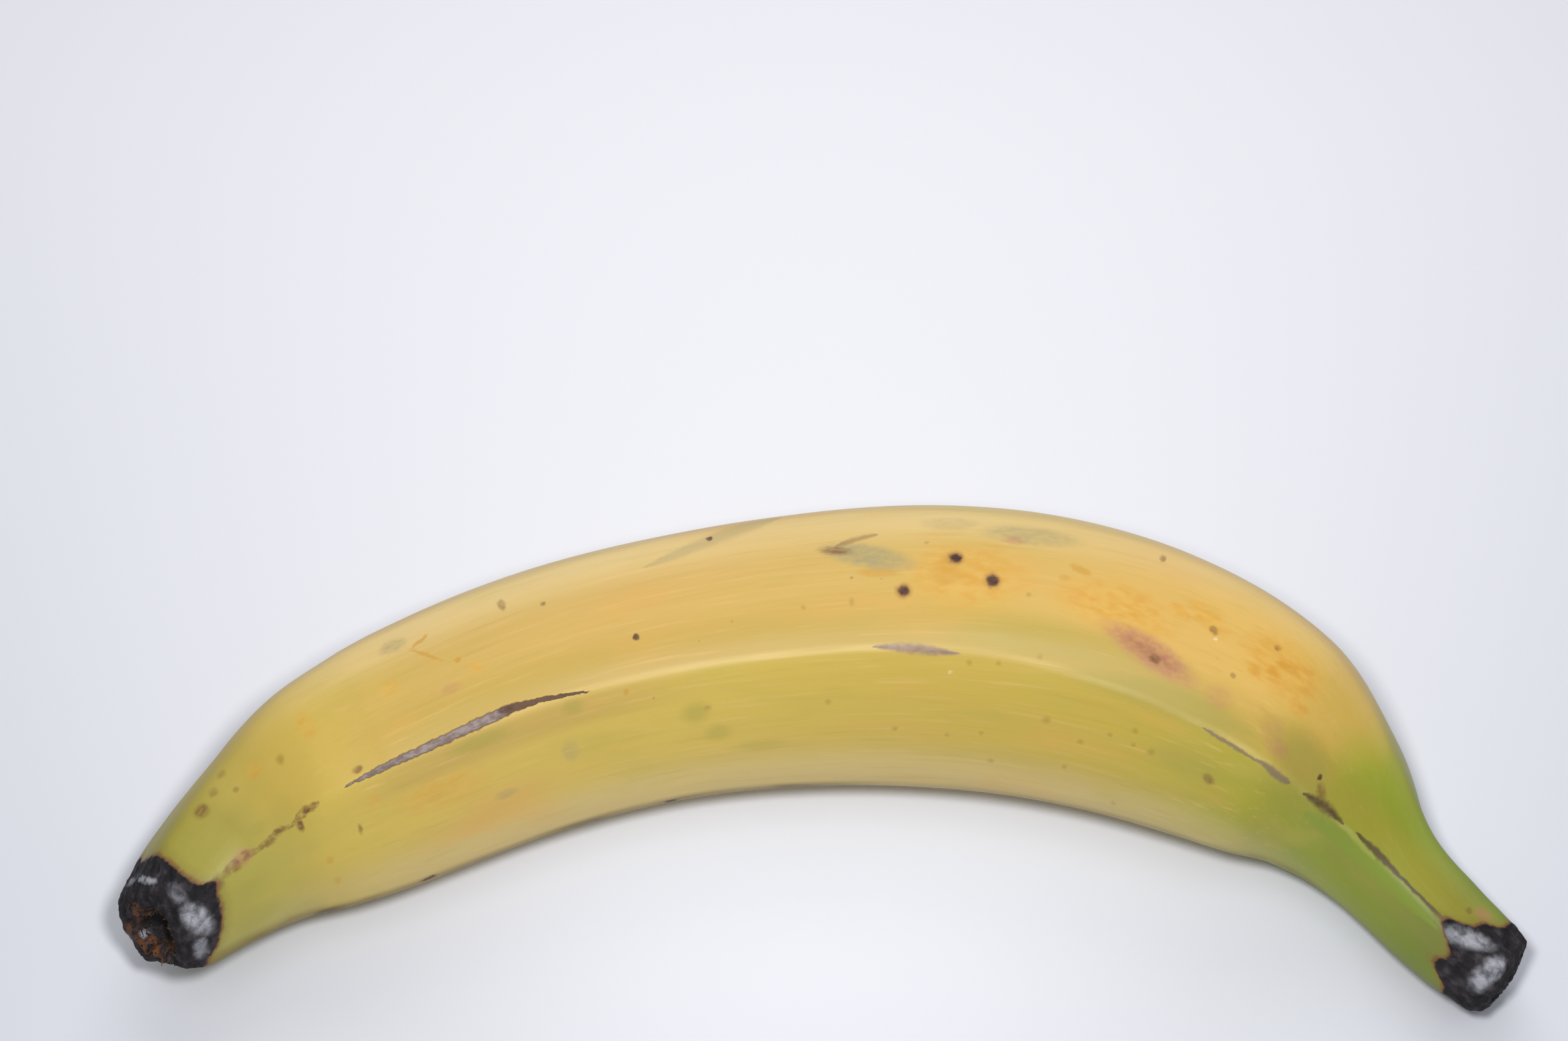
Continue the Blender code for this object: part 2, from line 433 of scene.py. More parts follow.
def swept_fruit(material):
    points, along, table = ring_table()
    base = bpy.data.meshes.new("middle line")
    base.from_pydata((points * MM).tolist(), [], [])
    for name, values in (("centre", points * MM), ("along", along)):
        base.attributes.new(name, "FLOAT_VECTOR", "POINT").data.foreach_set("vector", values.ravel())
    for name, values in table.items():
        values = values * MM if name in ("station", "radius") else values
        base.attributes.new(name, "FLOAT", "POINT").data.foreach_set("value", values)
    steps = np.hypot(np.diff(table["station"]), np.diff(table["radius"]))
    wrap = np.concatenate(([0], np.cumsum(steps)))
    base.attributes.new("wrap", "FLOAT", "POINT").data.foreach_set("value", wrap / wrap[-1])
    values = {
        "Rings": len(points), "Sides": len(RIDGES) * SIDES_PER_FACE, "Crest Height": 0.20 * MM,
        "Crest Width": 1.8 * MM, "Waviness": 0.9 * MM, "Crumple": 1.6 * MM, "Seed": 4.0,
        "Material": material,
    }
    return grow("plantain_peel", base, swept_fruit_tree(), values)


# ---------------------------------------------------------------- fibres in the blossom scar

def scar_fibres_tree():
    wire, given = new_geometry_tree("scar fibres", {
        "Density": "Float", "Inner Radius": "Float", "Outer Radius": "Float", "Deepest Station": "Float",
        "Length": "Float", "Thickness": "Float", "Lift": "Float", "Seed": "Int", "Material": "Material",
    })
    math, plus, minus, times = wire.math, wire.plus, wire.minus, wire.times
    station, inward, up = wire.parts(wire.stored("straight", "FLOAT_VECTOR"))
    radius = wire.vector("LENGTH", wire.combine(0.0, inward, up))
    allowed = times(math("GREATER_THAN", radius, given["Inner Radius"]),
                    math("LESS_THAN", radius, given["Outer Radius"]),
                    math("LESS_THAN", station, given["Deepest Station"]))
    scatter = wire.add("GeometryNodeDistributePointsOnFaces", distribute_method="RANDOM")
    for name, value in (("Mesh", given["Geometry"]), ("Selection", allowed), ("Density", given["Density"]),
                        ("Seed", given["Seed"])):
        wire.feed(scatter.inputs[name], value)

    def spread(low, high, offset, kind="FLOAT"):
        node = wire.add("FunctionNodeRandomValue", data_type=kind)
        sockets = [socket for socket in node.inputs if socket.enabled]
        for socket, value in zip(sockets, (low, high, None, plus(given["Seed"], offset))):
            wire.feed(socket, value)
        return [socket for socket in node.outputs if socket.enabled][0]

    # One strand: a bent, tapering curve that starts on the skin and runs along Z.
    ends = {name: wire.combine(times(given["Length"], x), 0.0, times(given["Length"], z))
            for name, x, z in (("Start", 0.0, -0.2), ("Middle", 0.05, 0.5), ("End", 0.4, 0.9))}
    bend = wire.add("GeometryNodeCurveQuadraticBezier", {"Resolution": 5, **ends})
    along = wire.add("GeometryNodeSplineParameter").outputs["Factor"]
    thick = times(given["Thickness"], minus(1.0, times(along, 0.7)))
    outline = wire.add("GeometryNodeCurvePrimitiveCircle", {"Resolution": 5, "Radius": 0.5},
                       mode="RADIUS").outputs[0]
    strand = wire.add("GeometryNodeCurveToMesh", {
        "Curve": bend.outputs[0], "Profile Curve": outline, "Scale": thick, "Fill Caps": True}).outputs[0]

    lean = wire.vector("ADD", wire.scale(scatter.outputs["Normal"], given["Lift"]),
                       spread((-1, -1, -1), (1, 1, 1), 1, "FLOAT_VECTOR"))
    turned = wire.add("FunctionNodeAlignRotationToVector", {"Vector": lean}, axis="Z").outputs[0]
    size = spread(0.55, 1.2, 2)
    placed = wire.add("GeometryNodeInstanceOnPoints", {
        "Points": scatter.outputs["Points"], "Instance": strand, "Rotation": turned,
        "Scale": wire.combine(size, size, size)}).outputs[0]
    toned = wire.store(placed, "tone", spread(0, 1, 3), domain="INSTANCE")
    close_geometry_tree(wire, toned, given["Material"])
    return wire.tree


def scar_fibres(peel, material):
    values = {
        "Density": 1.3e6, "Inner Radius": 2.2 * MM, "Outer Radius": 5.2 * MM, "Deepest Station": 2.6 * MM,
        "Length": 1.1 * MM, "Thickness": 0.36 * MM, "Lift": 0.12, "Seed": 12, "Material": material,
    }
    return grow("blossom_fibres", peel.data.copy(), scar_fibres_tree(), values)


# ---------------------------------------------------------------- materials

# Marks on the peel. A place is a station in mm and a turn in degrees from the
# top of the fruit, positive towards the hollow side. A patch is place, length,
# width, strength and, where it is turned, tilt in degrees; a stroke is a row of
# place and width.
PATCHES = {
    "green": (
        (12, 12, 16, 9, 0.5), (12, 86, 16, 4, 0.45), (18, 24, 9, 2.4, 0.4, 8), (106, 54, 5, 4, 0.45),
        (110, 67, 5, 3.4, 0.4), (65, 38.5, 11, 2.6, 0.55), (83, 38, 4, 2.6, 0.5), (118, 77, 10, 2, 0.3),
        (205, 60, 14, 6, 0.35), (200, 37, 46, 5.5, 0.7), (226, 32, 22, 8, 0.6), (178, 28, 40, 7, 0.35),
    ),
    "warm": (
        (26, -4, 3, 2.6, 0.5), (37, -3, 2.4, 4.5, 0.35), (54, 0, 3.4, 2.4, 0.4), (69, 8, 2.4, 2.2, 0.4),
        (43, 45, 2.4, 2.4, 0.3), (56, 55, 15, 6, 0.3), (157, 4, 19, 12, 0.5), (183.5, 8, 18, 8, 0.55),
        (190, 13.5, 8, 3, 0.5, -8), (194.5, 2, 4, 2.4, 0.6, 20), (199.5, 0, 8, 3.4, 0.6, 20),
        (214, 3, 13, 8, 0.7), (218, -3, 3, 2.2, 0.5), (210, 11, 5, 2, 0.6, 20), (219.5, 13, 4, 3, 0.6),
    ),
    "amber": (
        (141.5, 3, 7, 1.8, 0.55, 4), (153.5, 4.5, 6, 4, 0.4), (153.5, -1, 2.4, 4, 0.35),
        (66.6, 1.4, 1.1, 1, 0.8), (176.5, -3.6, 3.8, 1.4, 0.6, 15), (174, 1.4, 2, 1.2, 0.4),
        (61.9, -16, 4.4, 0.7, 0.7, -23), (62.2, -7.5, 7.2, 0.7, 0.6, 50), (93.5, 38, 1, 0.9, 0.7),
        (31.7, 69, 1.8, 1.6, 0.4), (32, 85, 1.6, 1.6, 0.4),
    ),
    "bruised": (
        (57.5, -20, 4.6, 3, 0.6), (140, -5, 15, 4.6, 0.95, 17), (167.5, -16, 15, 4, 0.65),
        (154, -20, 9, 3, 0.35), (66.7, 70.5, 4.4, 1.9, 0.5), (80.7, 58.5, 3.2, 4.6, 0.4),
        (192.7, 94, 1.2, 1, 0.6), (88, -72, 17, 4, 0.5), (176, -96, 13, 4, 0.5), (128, -118, 20, 3, 0.4),
        (22, 100, 30, 4, 0.35),
    ),
    "reddish": (
        (191.8, 22.6, 17, 4.8, 1.0, 14), (206, 29, 5.4, 4, 0.32), (217.5, 29, 4.6, 4, 0.3),
        (220, 34.5, 6.5, 3, 0.45), (63.7, 13, 3.4, 2, 0.35), (12.7, 33.6, 5.4, 2.6, 0.7),
        (164.7, -12.8, 3.4, 1.6, 0.6), (263.7, -22, 3, 3, 0.6),
    ),
    "brown": (
        (13.8, -13, 2.8, 2.5, 0.8), (17.8, -15, 1.8, 1.7, 0.45), (21.2, -19.5, 1.8, 1.6, 0.35),
        (21, -4.5, 1.2, 1.1, 0.5), (11, 35, 2.4, 2, 0.85), (19.3, 36, 1.8, 1.3, 0.7),
        (22.7, 33.8, 2.9, 1.1, 0.85), (39, 57, 0.9, 2.2, 0.6), (41.9, 28.5, 2.2, 1.1, 0.8),
        (27.8, 38.5, 1.7, 2.2, 1), (30.3, 33.6, 4, 1.1, 1, -6), (77, -17.5, 1.3, 2.4, 0.7),
        (83.5, -11, 0.9, 0.9, 0.7), (134.3, -9, 5, 1.7, 0.85, 10), (201, 3.8, 1.5, 1.3, 0.8),
        (210, 63.3, 2.6, 1.9, 0.75, 22), (232, 34.5, 3.4, 1.8, 0.65, 20), (261.6, -11.7, 1.1, 1.3, 0.7),
        (189.4, -19, 1.1, 1.6, 0.7), (6.4, 36, 3.4, 2.2, 0.85), (212, -3, 1.2, 0.9, 0.6),
        (66, -84, 3.4, 1.6, 0.7), (147, -66, 2.4, 1.2, 0.7), (198, -58, 3.6, 1.3, 0.6),
        (108, -101, 2, 1.5, 0.6), (192.9, 24.4, 2.4, 1.5, 1.0, 10), (191.5, 22.6, 10, 2.0, 0.25, 14),
        (207, 18, 1, 0.9, 0.5),
    ),
    "olive": (
        (30.7, 3, 1.3, 1.6, 0.85), (158.4, 39, 1, 1, 0.7), (164, 38.3, 1, 0.9, 0.7), (171.7, 34, 1, 1, 0.7),
        (108.4, 52.4, 1.2, 1.1, 0.7), (131.5, 56, 1.2, 1.1, 0.7), (175, 58.8, 1.7, 1.4, 0.7),
        (144.6, 71.3, 1.1, 1.1, 0.7), (155.2, 73.7, 1, 1, 0.6), (162.1, 70.7, 1, 1, 0.6),
        (164.9, 85, 1.2, 1.1, 0.6), (182.8, 66, 1.1, 1.1, 0.7), (188.3, 58.6, 1, 1, 0.7),
        (193, 53.8, 1, 1, 0.7), (193.4, 60.4, 0.9, 0.9, 0.7), (197.3, 61, 1.4, 1.3, 0.8),
        (180.5, 81, 1, 1, 0.6), (128, 16, 0.8, 0.8, 0.7), (136.6, 15.5, 0.8, 1.4, 0.6),
        (168.2, 11, 0.9, 0.8, 0.7), (150, -10.5, 0.8, 0.8, 0.7), (56, -61, 1.2, 1, 0.7),
        (120, -60, 1.2, 1.1, 0.7), (160, -82, 1.3, 1, 0.7), (210, -88, 1.4, 1.2, 0.7),
    ),
    "dark": (
        (155, -3, 2, 2, 1), (161.6, 6.5, 2.2, 2.2, 1), (145.9, 12, 2, 2, 1), (71.2, 30, 2.8, 1.2, 0.7),
        (97.5, 17, 1.2, 1.2, 0.9), (113.4, -25, 1.2, 1.1, 0.85), (230, 30, 1, 1, 0.9),
        (99, 106, 3, 1.2, 0.9), (49, 104, 3, 1.1, 0.8),
    ),
    "flecks": ((154.8, 43, 0.8, 0.8, 0.4), (201.8, 7, 0.9, 0.6, 0.6)),
}
STROKES = {
    "long scar": (
        (37.5, 33, 0), (41, 32.7, 0.5), (45, 32.5, 0.9), (55, 32.3, 1.3), (62, 31.8, 1.5), (68, 31.2, 1.6),
        (72, 30.7, 1.4), (76, 31.0, 0.9), (82, 32.5, 0.6), (88, 34, 0),
    ),
    "ridge scar": ((139.5, 33.4, 0), (143, 33.7, 0.9), (149, 34.6, 1.6), (153, 35.4, 1.1), (157, 36, 0)),
    "stem scar": (
        (205, 42.4, 0), (209, 43.3, 0.7), (213, 44, 0.7), (216.5, 44.4, 0.5), (219, 44, 0.9),
        (222.5, 44.5, 1.4), (226, 43, 0),
    ),
    "neck blotch": (
        (229, 42.6, 0), (231.5, 40.6, 1.2), (234, 38.6, 1.7), (236.5, 36.8, 1.2), (239, 34.8, 0),
    ),
    "neck line": (
        (240.5, 32, 0), (243, 29, 0.8), (245.5, 26.4, 1.2), (250, 23, 0.7), (255, 21, 0.6),
        (262, 19.5, 0.8),
    ),
    "trail": (
        (8, 35.5, 0), (12, 33.7, 1.9), (17, 35.5, 1.0), (20, 35.6, 1.5), (23, 34, 1.3), (26, 35.5, 0.8),
        (29, 33.7, 1.6), (33.5, 33.5, 0),
    ),
    "top bruise": ((101, -15.5, 0), (107, -19, 2.0), (113, -23.5, 2.8), (120, -29, 3.6), (126, -34, 0)),
    "bruise tail": ((134.5, -11.3, 0), (138, -13.6, 1.1), (142, -15.4, 0)),
    "neck ridge": ((234, 40, 0), (237, 37.7, 0.8), (241, 34.5, 1.0), (246, 31.5, 0)),
    "neck groove": ((232, 50, 0), (238, 45.5, 2.6), (245, 38.5, 2.8), (254, 32, 1.8), (261, 30, 0)),
}

# Mould on the dried ends, as patches.
MOULD = (
    (2.3, 51, 7.2, 3.4, 1.0, 68), (2.0, 85, 4.2, 2.4, 0.6, 80), (1.7, -33, 7.4, 1.1, 0.9, 100),
    (3.2, -66, 5.4, 1.5, 0.5, 100), (1.7, 16, 4.2, 2.0, 0.45, 90), (265.2, 13, 8.8, 3.1, 0.9, -32),
    (270.6, 30, 10.5, 3.4, 0.9, 98),
)

# Marks in the blossom scar: towards the hollow side and up from its middle, width, height, strength.
SCAR_MARKS = {
    "fibre": (
        (-3.9, 1.6, 2.6, 4.2, 0.9), (-5.0, -3.0, 3.0, 3.0, 0.8), (-0.9, -4.4, 6.5, 2.6, 0.9),
        (3.4, -0.6, 2.6, 4.4, 0.9), (0.6, 3.4, 5.0, 1.8, 0.6),
    ),
    "hollow": ((-0.9, 0.4, 4.6, 3.0, 0.95), (-2.6, -0.6, 3.0, 2.6, 0.85), (1.6, -1.6, 2.4, 2.0, 0.7)),
    "mould": ((-2.7, -2.8, 1.5, 1.3, 0.85), (2.1, 0.5, 1.4, 1.5, 0.8), (-5.6, -5.0, 2.0, 1.6, 0.4)),
}
# The hollow marks are painted shade: near-black where holes in the blossom scar lie in shade.
SCAR_TINTS = {"fibre": (118, 74, 44), "hollow": (20, 17, 17), "mould": (148, 150, 160)}

# How pale the crest of the front ridge is painted, as paler skin and a painted highlight: share of the
# length, paleness.
CREST_PAINTED_HIGHLIGHT = (
    (0, 0), (0.14, 0.05), (0.30, 0.1), (0.36, 0.4), (0.50, 0.5), (0.58, 0.2), (0.64, 0.45), (0.76, 0.6),
    (0.80, 0.3), (0.86, 0.1), (1, 0),
)

# Colours along each side of the fruit, by share of the length.
UPPER_FACE = {
    0.04: (156, 146, 62), 0.075: (180, 162, 78), 0.11: (198, 171, 80), 0.22: (195, 163, 88),
    0.40: (198, 163, 90), 0.58: (195, 165, 88), 0.70: (207, 168, 92), 0.78: (213, 174, 92),
    0.83: (204, 172, 80), 0.86: (153, 161, 50), 0.90: (124, 147, 42), 0.95: (105, 128, 40),
}
LOWER_FACE = {
    0.04: (162, 153, 72), 0.075: (178, 164, 79), 0.12: (200, 176, 82), 0.22: (201, 174, 87),
    0.37: (200, 174, 83), 0.55: (193, 167, 76), 0.68: (188, 164, 70), 0.75: (177, 163, 65),
    0.81: (162, 158, 50), 0.86: (139, 148, 52), 0.95: (110, 123, 54),
}
FAR_SIDE = {
    0.04: (150, 145, 75), 0.10: (188, 166, 88), 0.25: (196, 168, 92), 0.60: (192, 166, 88),
    0.78: (190, 164, 84), 0.86: (142, 148, 66), 0.95: (120, 130, 62),
}

# Tints of the soft patches: colour on a screen, and how softly the patches end.
TINTS = {
    "green": ((157, 148, 68), 0.6),
    "warm": ((212, 166, 76), 0.6),
    "amber": ((190, 141, 52), 0.4),
    "bruised": ((160, 146, 102), 0.4),
    "reddish": ((176, 122, 92), 0.5),
    "brown": ((116, 78, 48), 0.5),
    "olive": ((150, 122, 52), 0.8),
}
FEATHERING = {  # how softly a stroke's edges end, where they aren't crisp
    "neck groove": 0.8, "neck ridge": 0.6, "top bruise": 0.6, "stem scar": 0.6, "bruise tail": 0.8,
    "neck blotch": 0.8, "long scar": 0.5, "ridge scar": 0.8, "neck line": 0.6,
}
ROUGH_EDGE = 0.9  # mm that a patch's edge wanders
STROKE_WANDER = 0.7  # mm that a stroke's edges wander
STROKE_FADE = (0.04, 0.16)  # half widths, in mm, between which a stroke's ends fade
THINNEST = 0.01  # mm, the least half width of a stroke
HALO = 1.1  # mm that a dark spot's halo adds to its size
FRECKLE_SPACING = 5.5  # mm from freckle to freckle, where each place has one
FRONT_TURN = 15  # the middle of the faces seen from the front
# The low front ridge's turn is also where its painted brown shade lies.
LOW_RIDGE_TURN = 108  # where the low front ridge runs

# The studio, in metres. A lamp is name, place, aim, size, watts and colour.
TABLE_REACH = 3.0
LAMPS = (
    ("key", (0.0, -0.118, 0.28), (0, 0.02, 0), 0.04, 0.58, (1.0, 0.99, 0.97)),
    ("ceiling", (0.0, -0.25, 1.0), (0, 0.1, 0), 0.8, 1.9, (0.97, 0.98, 1.0)),
    ("back", (0, 0.70, 0.60), (0, 0.3, 0), 0.8, 3.1, (0.97, 0.98, 1.0)),
)
CAMERA_PLACE = (-0.0069, -0.1916, 0.3648)
CAMERA_AIM = (-0.0069, 0.0639, 0)
LENS = 50
SENSOR_WIDTH = 36


def hue(red, green, blue):
    """A colour from 0 to 255 as a screen shows it, turned into what a shader takes."""
    shares = [value / 255 for value in (red, green, blue)]
    return (*[share / 12.92 if share < 0.04 else ((share + 0.055) / 1.055)**2.4 for share in shares], 1)


def on_peel(station, turn):
    """The straightened peel's point, in mm, at a station and a turn from the top."""
    share = np.array([station / LENGTH])
    angle = np.radians(90 - turn)
    ridges = np.radians([np.interp(share[0], RIDGE_STATIONS, angles) for angles in RIDGES.values()])
    after = np.append(ridges[1:], ridges[0] + 2 * np.pi)
    reach = np.maximum(0, np.cos(angle - (ridges + after) / 2)) / np.cos((after - ridges) / 2)
    crispness = np.interp(share[0], list(CRISPNESS.keys()), list(CRISPNESS.values()))
    radius = smooth(HALF_THICKNESS, share)[0] * (2 / (reach**crispness).sum())**(1 / crispness)
    radius *= rounding(station, *BLOSSOM_END) * rounding(LENGTH - station, *STEM_END)
    return station, radius * np.cos(angle), radius * np.sin(angle)


def new_material(name):
    material = bpy.data.materials.new(name)
    material.use_nodes = True
    wire = Wiring(material.node_tree)
    return material, wire, material.node_tree.nodes["Principled BSDF"]


def raise_bumps(wire, shader, height, reach, strength):
    """Fine relief: the height counts in lengths of the reach."""
    bump = wire.add("ShaderNodeBump", {"Height": height, "Distance": reach, "Strength": strength}).outputs[0]
    wire.feed(shader.inputs["Normal"], bump)


class Peel:
    """The straightened peel inside a material: where a point is, and marks laid out on it."""

    def __init__(self, wire):
        self.wire = wire
        straight = wire.add("ShaderNodeAttribute", attribute_name="straight").outputs["Vector"]
        self.place = wire.scale(straight, 1 / MM)
        self.station, inward, up = wire.parts(self.place)
        self.turn = wire.times(wire.math("ARCTAN2", inward, up), 180 / np.pi)
        self.radius = wire.math("SQRT", wire.plus(wire.times(inward, inward), wire.times(up, up)))
        self.share = wire.math("DIVIDE", self.station, LENGTH)
        jitter = wire.add("ShaderNodeTexNoise", {"Vector": self.place, "W": 2.0, "Scale": 1.1, "Detail": 2.0},
                          noise_dimensions="4D").outputs["Color"]
        jitter = wire.add("ShaderNodeSeparateColor", (jitter,)).outputs
        jitter = [wire.minus(jitter[i], 0.5) for i in range(3)]
        self.jitter = jitter[0]
        self.rough_place = wire.vector("ADD", self.place, wire.scale(wire.combine(*jitter), ROUGH_EDGE))

    def grain(self, lengths, seed, detail=2.0):
        """Noise centred on zero, with lumps of these lengths in mm along, across and up."""
        stretched = self.wire.vector("MULTIPLY", self.place, tuple(1 / length for length in lengths))
        return self.wire.minus(self.wire.noise(stretched, seed, detail), 0.5)

    def oval(self, centre, size, strength, soft):
        """A soft oval around a point of the straightened peel: strength inside, 0 outside."""
        share = Vector([2 / length for length in size])
        away = self.wire.vector("MULTIPLY_ADD", self.rough_place, share, -Vector(centre) * share)
        return self.wire.ramp(self.wire.vector("LENGTH", away), 1 - soft, 1 + soft, strength, 0.0)

    def patch(self, soft, station, turn, length, width, strength, tilt=0):
        """A soft oval mark on the outside of the peel, turned by its tilt."""
        wire = self.wire
        centre = Vector(on_peel(station, turn))
        if not tilt:
            return self.oval(centre, (length, width, width), strength, soft)
        long, wide = 2 / length, 2 / width
        lie = Matrix.Rotation(-np.radians(turn), 3, "X") @ Matrix.Rotation(np.radians(tilt), 3, "Z")
        away = wire.vector("SUBTRACT", self.rough_place, centre)
        along = wire.vector("DOT_PRODUCT", away, lie.col[0])
        along = wire.times(along, along, long**2 - wide**2)
        square = wire.math("MULTIPLY_ADD", wire.vector("DOT_PRODUCT", away, away), wide**2, along)
        return wire.ramp(wire.math("SQRT", square), 1 - soft, 1 + soft, strength, 0.0)

    def patches(self, marks, soft):
        """Patches merged one by one, so a shader never holds many at once."""
        return self.wire.fold("MAXIMUM", (self.patch(soft, *mark) for mark in marks))

    def stroke(self, points, soft):
        """A long thin mark: its middle and its width follow curves along the fruit."""
        wire = self.wire
        first, last = points[0][0], points[-1][0]
        turns = [turn for _, turn, _ in points]
        low, spread = min(turns) - 1, max(turns) - min(turns) + 2
        widest = max(width for _, _, width in points)
        share = wire.math("DIVIDE", wire.minus(self.station, first), last - first)
        share = wire.add("ShaderNodeClamp", (share, 0, 1)).outputs[0]
        along = [(station - first) / (last - first) for station, _, _ in points]
        middle = wire.curve(share, [(x, (turn - low) / spread) for x, turn in zip(along, turns)])
        middle = wire.plus(wire.times(middle, spread), low)
        half = wire.curve(share, [(x, width / widest) for x, (_, _, width) in zip(along, points)])
        half = wire.times(half, widest / 2)
        away = wire.times(wire.minus(self.turn, middle), np.pi / 180)
        away = wire.plus(wire.times(away, self.radius), wire.times(self.jitter, STROKE_WANDER))
        ratio = wire.math("DIVIDE", wire.math("ABSOLUTE", away), wire.most(half, THINNEST))
        return wire.times(wire.ramp(ratio, 1 - soft, 1 + soft, 1.0, 0.0), wire.ramp(half, *STROKE_FADE))


def ripe_skin(peel, wire):
    """The peel's ground colour before any marks: ripe yellow with green at both ends, with painted sheen,
    highlight and shade on it.
    """
    plus, minus, times, ramp, mix = wire.plus, wire.minus, wire.times, wire.ramp, wire.mix
    station = peel.station

    def turn_from(middle):
        return wire.math("ABSOLUTE", minus(peel.turn, middle))

    # The three sides' colours, with a soft change along the front ridge's crest:
    # across is how far below the crest a point lies, in mm, and negative above it.
    crest_turn = minus(90, times(wire.carried("front ridge"), 180 / np.pi))
    across = times(times(minus(peel.turn, crest_turn), np.pi / 180), peel.radius)
    wander = plus(peel.share, times(peel.grain((30, 10, 10), 21), 0.05))
    upper, lower, far = [wire.colours(wander, {x: hue(*c) for x, c in table.items()})
                         for table in (UPPER_FACE, LOWER_FACE, FAR_SIDE)]
    skin = mix(ramp(across, -1.6, 1.6), upper, lower)
    above_crest = times(ramp(across, -11, -4), ramp(across, -1.5, 0.5, 0.5, 0.0))
    above_crest = times(above_crest, ramp(station, 35, 60))
    skin = mix(above_crest, skin, hue(170, 147, 60))
    below_crest = times(ramp(across, -0.5, 1.5, 0.0, 0.5), ramp(across, 3.5, 7.0, 1.0, 0.0))
    below_crest = times(below_crest, ramp(station, 30, 58))
    below_crest = times(below_crest, ramp(station, 80, 115, 1.0, 0.2))
    skin = mix(below_crest, skin, hue(166, 137, 82))
    behind = ramp(turn_from(FRONT_TURN), 92, 128)
    skin = mix(behind, skin, far)

    # Painted sheen: paler on the back of the upper face and low on the hollow side, where the underside then
    # greys towards the table as painted shade and a painted reflection of the table.
    painted_sheen = wire.most(ramp(peel.turn, -4, -26, 0.0, 0.75), ramp(peel.turn, 76, 96, 0.0, 0.45))
    ripe = times(ramp(station, 22, 50), ramp(station, 214, 244, 1.0, 0.15))
    painted_sheen = times(times(painted_sheen, ripe), ramp(peel.grain((40, 5, 5), 31), -0.25, 0.25, 0.75, 1.1))
    painted_sheen = times(painted_sheen, ramp(turn_from(20), 80, 110, 1.0, 0.3))
    skin = mix(painted_sheen, skin, hue(220, 195, 138))
    # Painted shade and a painted bluish reflection of the table on the underside.
    skin = mix(ramp(peel.turn, 66, 95, 0.0, 0.14), skin, hue(120, 130, 140))

    # Lengthwise streaks, cloudy warmth, and patches that ripen unevenly.
    streak = plus(peel.grain((45, 1.1, 1.1), 5, 3.0), times(peel.grain((16, 0.5, 0.5), 8, 2.0), 0.7))
    skin = mix(times(ramp(streak, 0.02, 0.45, 0.0, 0.5), ripe), skin, hue(222, 182, 118))
    skin = mix(times(ramp(streak, -0.02, -0.45, 0.0, 0.45), ripe), skin, hue(176, 148, 66))
    cloud = peel.grain((26, 9, 9), 13, 3.0)
    warmth = times(ramp(cloud, 0.03, 0.30, 0.0, 0.5), ramp(station, 25, 60))
    warmth = times(warmth, ramp(station, 215, 235, 1.0, 0.1))
    skin = mix(warmth, skin, hue(208, 158, 84))
    green = times(ramp(cloud, -0.03, -0.26, 0.0, 0.5), ramp(across, -6, 2, 0.35, 1.0))
    skin = mix(green, skin, hue(178, 164, 76))

    # The crest of the front ridge gets paler skin and a painted highlight, and the low front ridge a painted
    # brown shade.
    # Painted highlight: a thin pale line along the front ridge's crest.
    light = ramp(wire.math("ABSOLUTE", across), 0.1, 1.0, 0.6, 0.0)
    light = times(wire.curve(peel.share, CREST_PAINTED_HIGHLIGHT), light)
    light = times(light, ramp(streak, -0.3, 0.2, 0.4, 1.0))
    skin = mix(light, skin, hue(236, 216, 158))
    to_ridge = wire.math("DIVIDE", wire.carried("to ridge"), MM)
    # Painted shade: a brown line along the low front ridge, where the underside turns away from the light.
    low_ridge_shade = times(ramp(to_ridge, 0.8, 3.2, 1.0, 0.0), ramp(turn_from(LOW_RIDGE_TURN), 10, 18, 1.0, 0.0))
    low_ridge_shade = times(low_ridge_shade, ramp(peel.grain((18, 3, 3), 23), -0.12, 0.14, 0.6, 1.0))
    low_ridge_shade = times(low_ridge_shade, ramp(station, 118, 140, 1.0, 0.45))
    return mix(low_ridge_shade, skin, hue(104, 84, 44)), streak


def tinted_skin(peel, wire, skin, strokes, mottle):
    """Soft changes of colour: bruises, amber clouds, brown and olive spots."""
    times, most = wire.times, wire.most
    for name, (tint, soft) in TINTS.items():
        mask = peel.patches(PATCHES[name], soft)
        if name in ("reddish", "bruised", "brown"):
            mask = times(mask, wire.ramp(mottle, 0, 1, 0.6, 1.0))
        if name == "warm":
            speckle = wire.ramp(peel.grain((3.2, 1.4, 1.4), 71, 4.0), -0.16, 0.20, 0.0, 1.3)
            speckle = wire.math("MINIMUM", times(mask, speckle), 0.85)
        if name == "bruised":
            mask = most(mask, times(strokes["top bruise"], 0.45))
        if name == "brown":
            mask = most(mask, times(strokes["trail"], wire.ramp(mottle, 0, 1, 0.15, 0.7)))
            mask = most(mask, times(strokes["bruise tail"], 0.5))
        if name == "olive":
            mask = times(mask, 0.65)
        skin = wire.mix(mask, skin, hue(*tint))
        if name == "warm":
            skin = wire.mix(speckle, skin, hue(200, 145, 52))
    skin = wire.mix(times(strokes["neck ridge"], 0.45), skin, hue(178, 176, 96))
    return wire.mix(times(strokes["neck groove"], 0.6), skin, hue(126, 148, 54))


